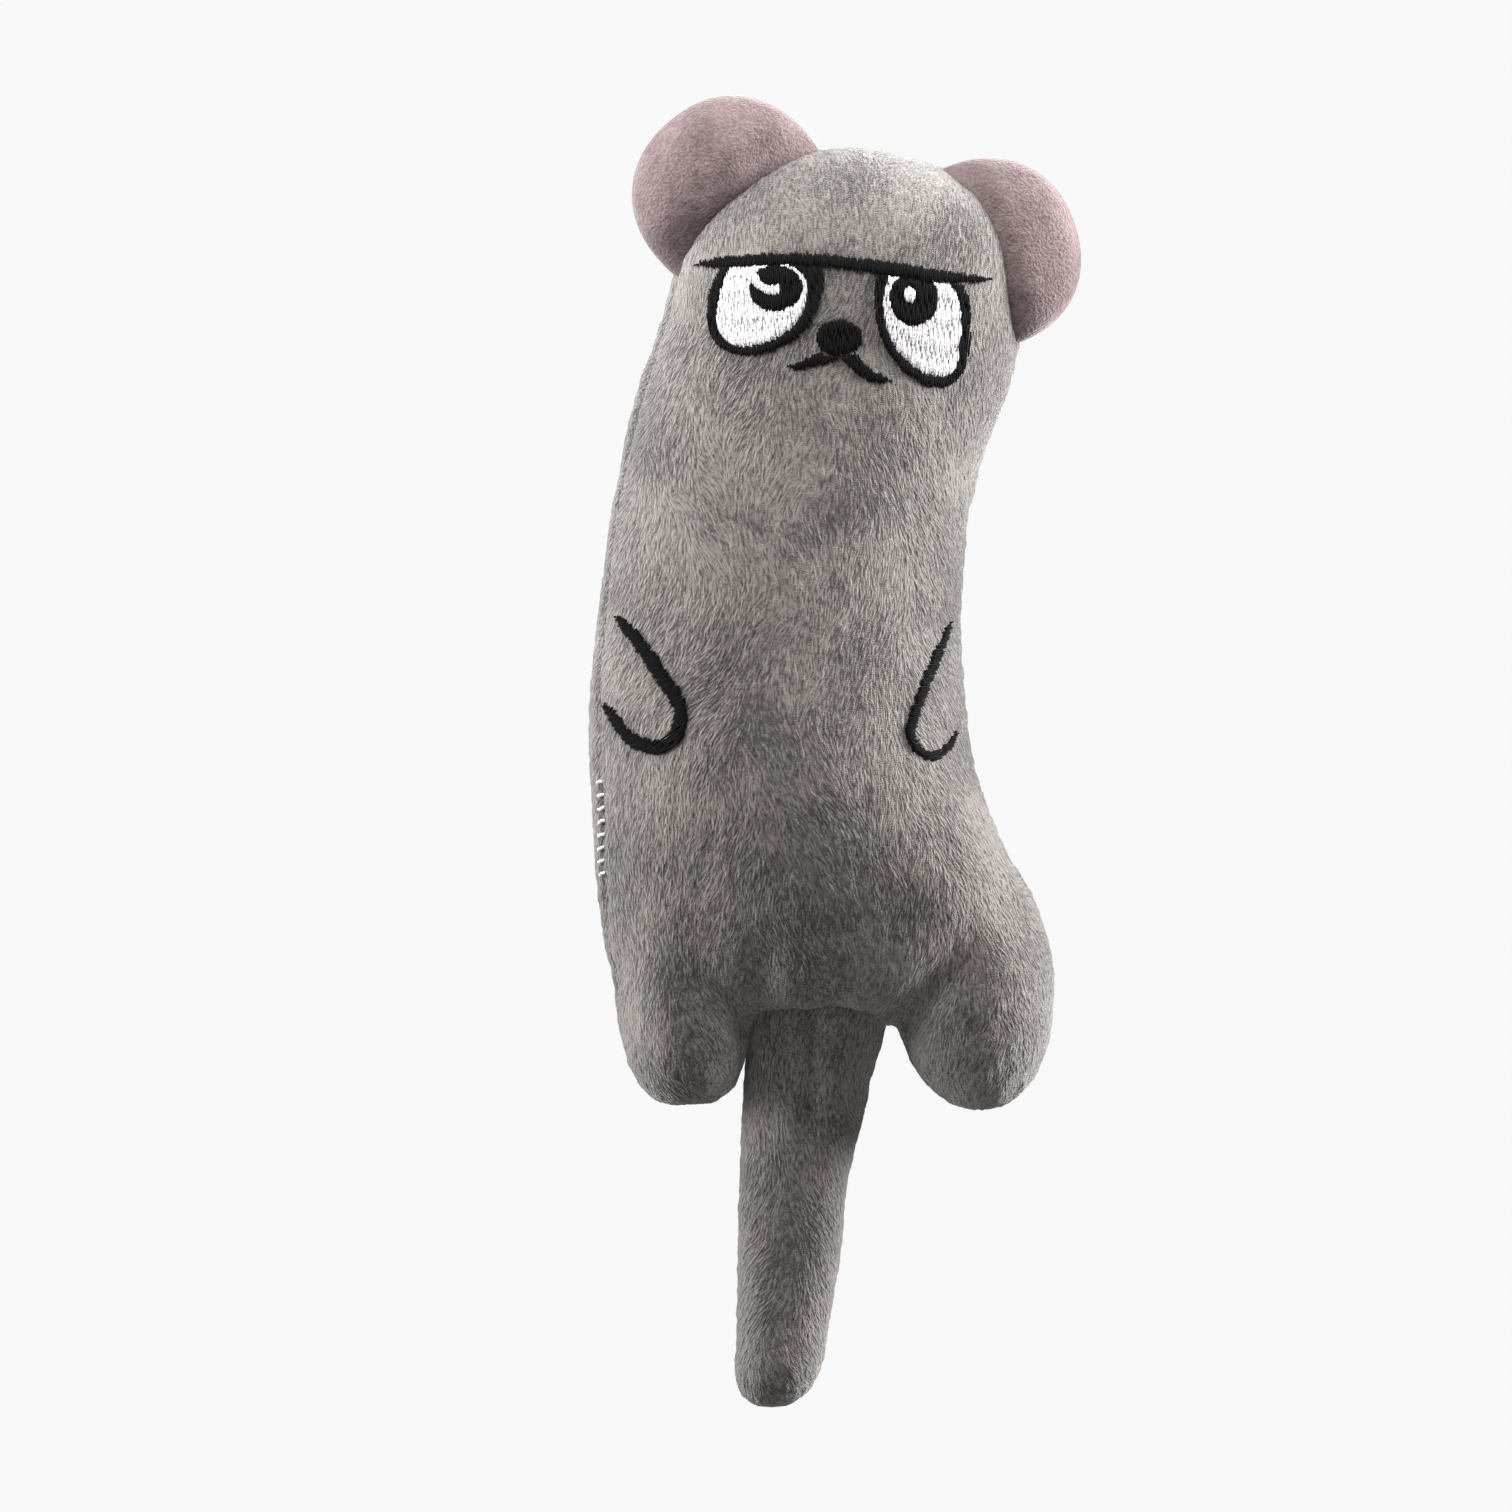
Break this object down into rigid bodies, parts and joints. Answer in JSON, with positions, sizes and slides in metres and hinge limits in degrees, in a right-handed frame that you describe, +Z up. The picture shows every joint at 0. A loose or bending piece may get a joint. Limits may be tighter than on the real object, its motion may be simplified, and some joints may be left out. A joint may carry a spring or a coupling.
{
  "type": "plush toy mouse",
  "caption": "Stuffed short-pile grey toy mouse lying on its back, with an embroidered grumpy face, puffy folding ears, stubby arms and legs and a broad soft tail",
  "frame": {"origin": "centre of the bounding box's underside, on the surface the toy lies on", "axes": "+Z up through the face, as the toy lies on its back; +Y from tail to head; +X the toy's own left side"},
  "size_m": [0.0744, 0.1996, 0.0345],
  "materials": {
    "plush": "short-pile grey plush, matt with a pale sheen where the pile is seen edge on",
    "ear_velour": "smoother pinkish grey velour",
    "black_thread": "black satin-stitched embroidery thread, slightly glossy",
    "white_thread": "white thread, slightly glossy",
    "stabiliser": "white non-woven backing sheet, matt",
    "fibre_fill": "loose white polyester fibre filling"
  },
  "bodies": {
    "body": {"body_front_panel": "plush", "body_back_panel": "plush", "body_stuffing": "fibre_fill", "brow_embroidery": "black_thread", "right_eye_outline": "black_thread", "right_eye_white": "white_thread", "right_eye_pupil": "black_thread", "right_eye_glint": "white_thread", "left_eye_outline": "black_thread", "left_eye_white": "white_thread", "left_eye_pupil": "black_thread", "left_eye_glint": "white_thread", "nose_embroidery": "black_thread", "mouth_right_embroidery": "black_thread", "mouth_left_embroidery": "black_thread", "right_arm_embroidery": "black_thread", "left_arm_embroidery": "black_thread", "face_backing": "stabiliser", "right_arm_backing": "stabiliser", "left_arm_backing": "stabiliser", "closing_stitches": "white_thread"},
    "right_ear": {"right_ear_front_panel": "ear_velour", "right_ear_back_panel": "ear_velour", "right_ear_stuffing": "fibre_fill"},
    "left_ear": {"left_ear_front_panel": "ear_velour", "left_ear_back_panel": "ear_velour", "left_ear_stuffing": "fibre_fill"},
    "tail": {"tail_front_panel": "plush", "tail_back_panel": "plush", "tail_stuffing": "fibre_fill"}
  },
  "joints": [
    {"name": "right_ear_fold", "type": "hinge", "parent": "body", "child": "right_ear", "pos_m": [-0.0155, 0.08555, 0.016], "axis": [0.7609, 0.6489, 0], "range_deg": [-30, 30], "stiffness_Nm_per_rad": 0.004},
    {"name": "left_ear_fold", "type": "hinge", "parent": "body", "child": "left_ear", "pos_m": [0.02615, 0.07745, 0.016], "axis": [0.3231, -0.9464, 0], "range_deg": [-30, 30], "stiffness_Nm_per_rad": 0.004},
    {"name": "tail_fold", "type": "hinge", "parent": "body", "child": "tail", "pos_m": [0, -0.042, 0.0095], "axis": [-1, 0, 0], "range_deg": [0, 60], "stiffness_Nm_per_rad": 0.02}
  ]
}
